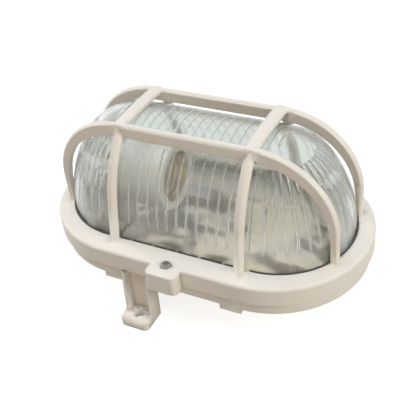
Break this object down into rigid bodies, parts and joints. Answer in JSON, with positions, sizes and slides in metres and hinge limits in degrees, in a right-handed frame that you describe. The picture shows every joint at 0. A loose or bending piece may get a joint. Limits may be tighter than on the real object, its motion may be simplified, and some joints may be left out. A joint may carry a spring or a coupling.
{
  "type": "bulkhead light",
  "caption": "Oval surface-mounted bulkhead light: moulded base on stand-off feet, caged guard, reeded glass dome, screw lampholder and reflector.",
  "frame": {"origin": "middle of the wall plane, under the middle of the light", "axes": "+X along the light, towards the end that the lampholder's mouth faces; +Z away from the wall"},
  "size_m": [0.1818, 0.126, 0.101],
  "materials": {
    "ivory_plastic": "satin moulded",
    "clear_glass": "pressed, reeded inside",
    "black_rubber": "matt",
    "plated_steel": "bright plated",
    "zinc_steel": "zinc plated",
    "bright_aluminium": "bright rolled",
    "porcelain": "glazed porcelain",
    "brass": "pressed",
    "bronze": "rolled"
  },
  "bodies": {
    "housing": {"base": "ivory_plastic", "feet": "ivory_plastic", "guard_nuts": "plated_steel", "reflector": "bright_aluminium", "reflector_screws": "plated_steel", "holder_bracket": "zinc_steel", "bracket_screws": "plated_steel", "lampholder_body": "porcelain", "lampholder_shell": "brass", "centre_contact": "bronze", "shell_contact": "bronze", "terminal_clamps": "brass", "terminal_screws": "plated_steel", "holder_screws": "plated_steel", "holder_nuts": "plated_steel", "cable_grommet": "black_rubber"},
    "guard_set": {"guard": "ivory_plastic", "glass": "clear_glass", "gasket": "black_rubber", "guard_screws": "plated_steel", "screw_retainers": "black_rubber"}
  },
  "joints": [
    {"name": "guard_lift", "type": "slide", "parent": "housing", "child": "guard_set", "axis": [0, 0, 1], "range_m": [0, 0.09]}
  ]
}
